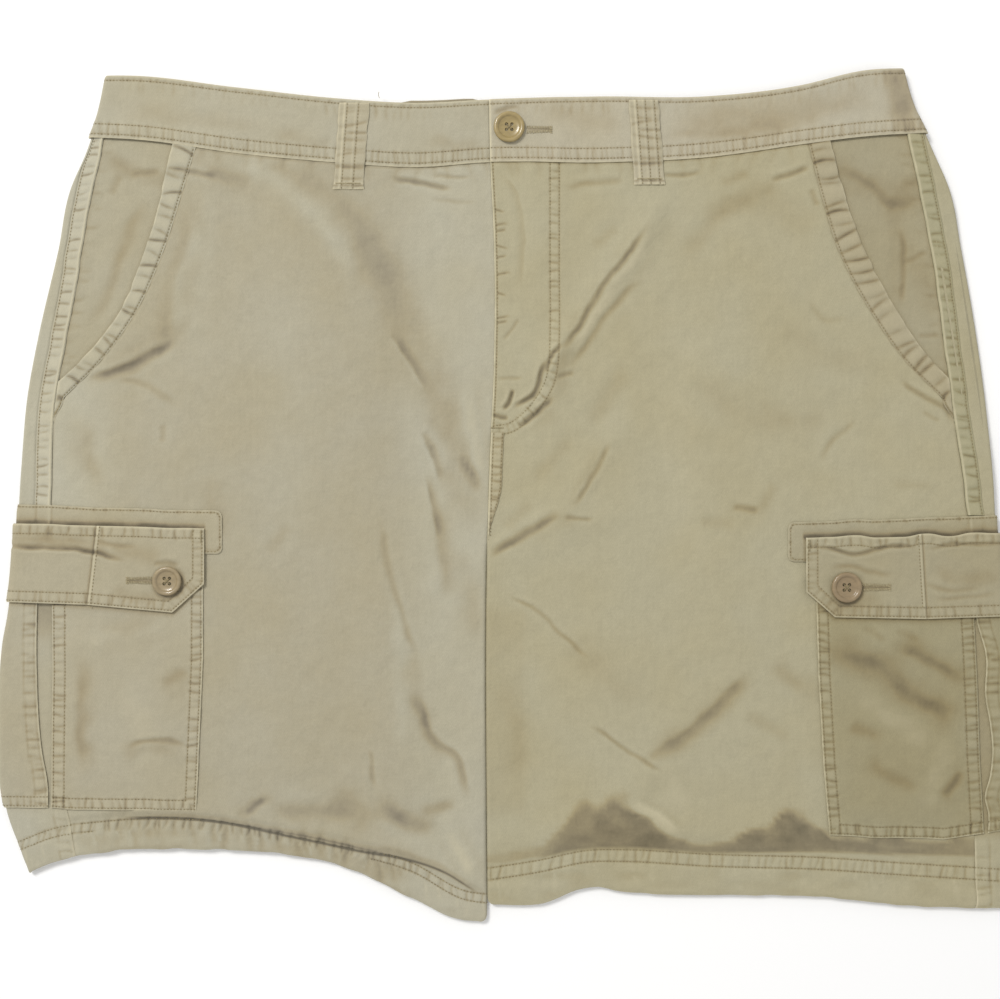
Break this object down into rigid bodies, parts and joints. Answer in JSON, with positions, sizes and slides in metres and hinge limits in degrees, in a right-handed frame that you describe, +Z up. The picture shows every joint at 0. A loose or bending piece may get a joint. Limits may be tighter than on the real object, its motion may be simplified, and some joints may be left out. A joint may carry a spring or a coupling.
{
  "type": "cargo shorts",
  "caption": "Cargo shorts laid flat, front up, with a belt-loop waistband, slanted front pockets and buttoned cargo pockets on the sides of the legs.",
  "frame": {"origin": "bottom centre of the bounding box, on the surface that the shorts lie on", "axes": "+Z up out of the front, +Y towards the waist, +X towards the wearer's left leg"},
  "size_m": [0.6447, 0.5418, 0.0123],
  "materials": {
    "twill": "garment-washed khaki cotton twill, matte",
    "twill_shade": "the same twill inside the pocket mouths, less faded",
    "twill_worn": "the same twill over thick seams, faded along the edges",
    "thread": "olive-tan sewing thread",
    "button": "mottled horn-coloured resin, polished"
  },
  "bodies": {
    "root": {"front_right": "twill", "front_left": "twill", "back_right": "twill", "back_left": "twill", "waistband_right": "twill", "waistband_left": "twill", "cargo_patch_right": "twill", "cargo_patch_left": "twill", "cargo_flap_front_right": "twill", "cargo_flap_front_left": "twill", "cargo_flap_rear_right": "twill", "cargo_flap_rear_left": "twill", "cargo_pocket_front_right": "twill", "cargo_pocket_front_left": "twill", "cargo_pocket_rear_right": "twill", "cargo_pocket_rear_left": "twill", "pocket_bearer_right": "twill_shade", "pocket_bearer_left": "twill_shade", "pocket_mouth_right": "twill_worn", "pocket_mouth_left": "twill_worn", "side_seam_right": "twill_worn", "side_seam_left": "twill_worn", "crotch_seam": "twill_worn", "belt_loop_front_right": "twill_worn", "belt_loop_front_left": "twill_worn", "belt_loop_back_right": "twill_worn", "belt_loop_back_middle": "twill_worn", "belt_loop_back_left": "twill_worn", "button_waist": "button", "button_cargo_right": "button", "button_cargo_left": "button"}
  },
  "joints": []
}
